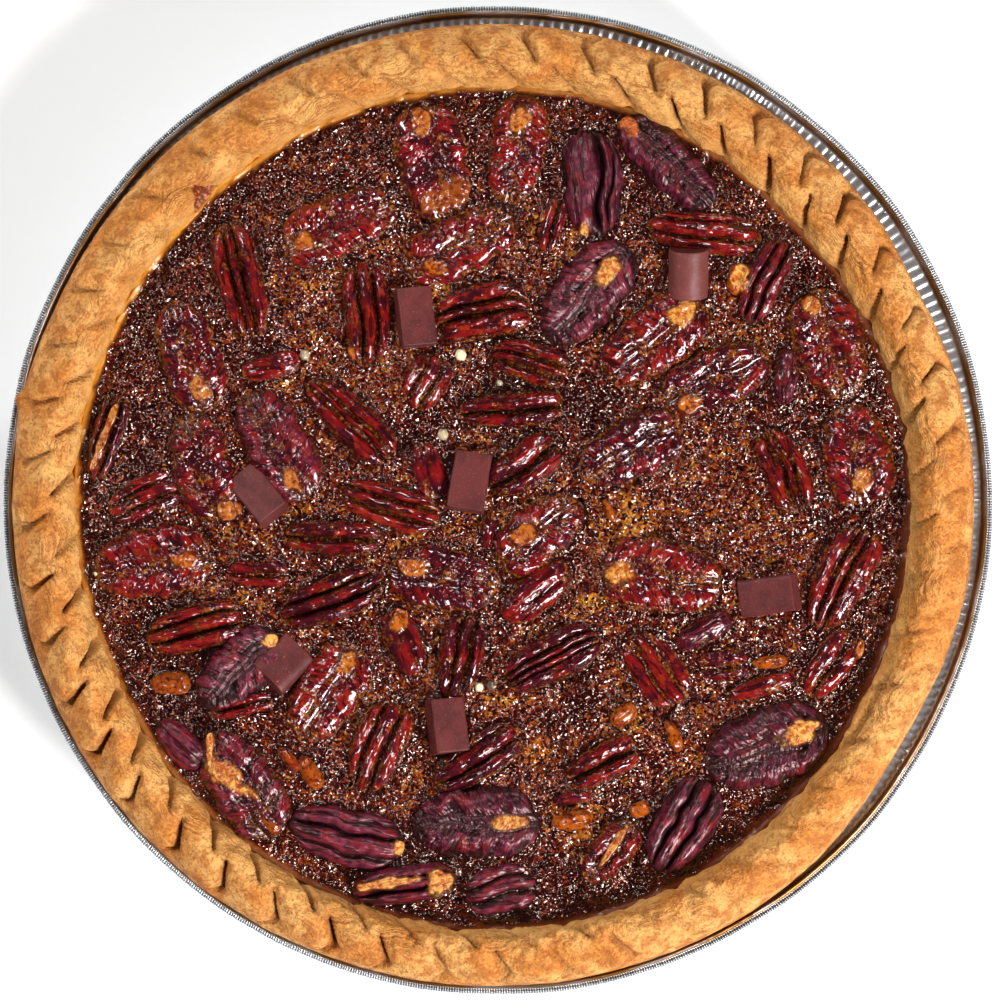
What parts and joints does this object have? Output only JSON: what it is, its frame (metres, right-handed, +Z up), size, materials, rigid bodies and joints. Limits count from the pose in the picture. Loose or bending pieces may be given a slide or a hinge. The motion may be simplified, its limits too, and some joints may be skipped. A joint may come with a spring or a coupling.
{
  "type": "pecan pie",
  "caption": "Whole pecan pie in its round foil tin: crimped golden crust, dark glossy filling, pecan halves and small blocks of chocolate on top.",
  "frame": {"origin": "middle of the tin's flat underside, which the pie rests on", "axes": "+Z up, out of the pie's top; +X right and +Y away from the viewer when the pie is seen from above as in its usual top view"},
  "size_m": [0.245, 0.245, 0.042],
  "materials": {
    "foil": "bright pressed foil, ribbed, slightly crumpled",
    "crust": "baked pastry, matte, golden tan with browner specks and creases",
    "filling": "set syrup filling, dark amber, finely bubbled and glossy",
    "pecan": "syrup-glazed nut, dark red-brown, bare ones matte purple-brown",
    "chocolate": "milk chocolate, satin, slightly dusty"
  },
  "bodies": {
    "root": {"tin": "foil", "crust": "crust", "filling": "filling", "pecan_back_01": "pecan", "pecan_back_02": "pecan", "pecan_back_03": "pecan", "pecan_back_04": "pecan", "pecan_back_05": "pecan", "pecan_back_06": "pecan", "pecan_back_07": "pecan", "pecan_back_08": "pecan", "pecan_back_09": "pecan", "pecan_back_10": "pecan", "pecan_back_11": "pecan", "pecan_back_12": "pecan", "pecan_back_13": "pecan", "pecan_back_14": "pecan", "pecan_back_15": "pecan", "pecan_back_16": "pecan", "pecan_back_17": "pecan", "pecan_back_18": "pecan", "pecan_back_19": "pecan", "pecan_back_20": "pecan", "pecan_back_21": "pecan", "pecan_back_22": "pecan", "pecan_back_23": "pecan", "pecan_back_24": "pecan", "pecan_face_01": "pecan", "pecan_face_02": "pecan", "pecan_face_03": "pecan", "pecan_face_04": "pecan", "pecan_face_05": "pecan", "pecan_face_06": "pecan", "pecan_face_07": "pecan", "pecan_face_08": "pecan", "pecan_face_09": "pecan", "pecan_face_10": "pecan", "pecan_face_11": "pecan", "pecan_face_12": "pecan", "pecan_face_13": "pecan", "pecan_face_14": "pecan", "pecan_face_15": "pecan", "pecan_face_16": "pecan", "pecan_face_17": "pecan", "pecan_face_18": "pecan", "pecan_face_19": "pecan", "pecan_face_20": "pecan", "pecan_face_21": "pecan", "pecan_face_22": "pecan", "pecan_face_23": "pecan", "pecan_face_24": "pecan", "pecan_edge_01": "pecan", "pecan_edge_02": "pecan", "chocolate_1": "chocolate", "chocolate_2": "chocolate", "chocolate_3": "chocolate", "chocolate_4": "chocolate", "chocolate_5": "chocolate", "chocolate_6": "chocolate", "chocolate_7": "chocolate"}
  },
  "joints": []
}
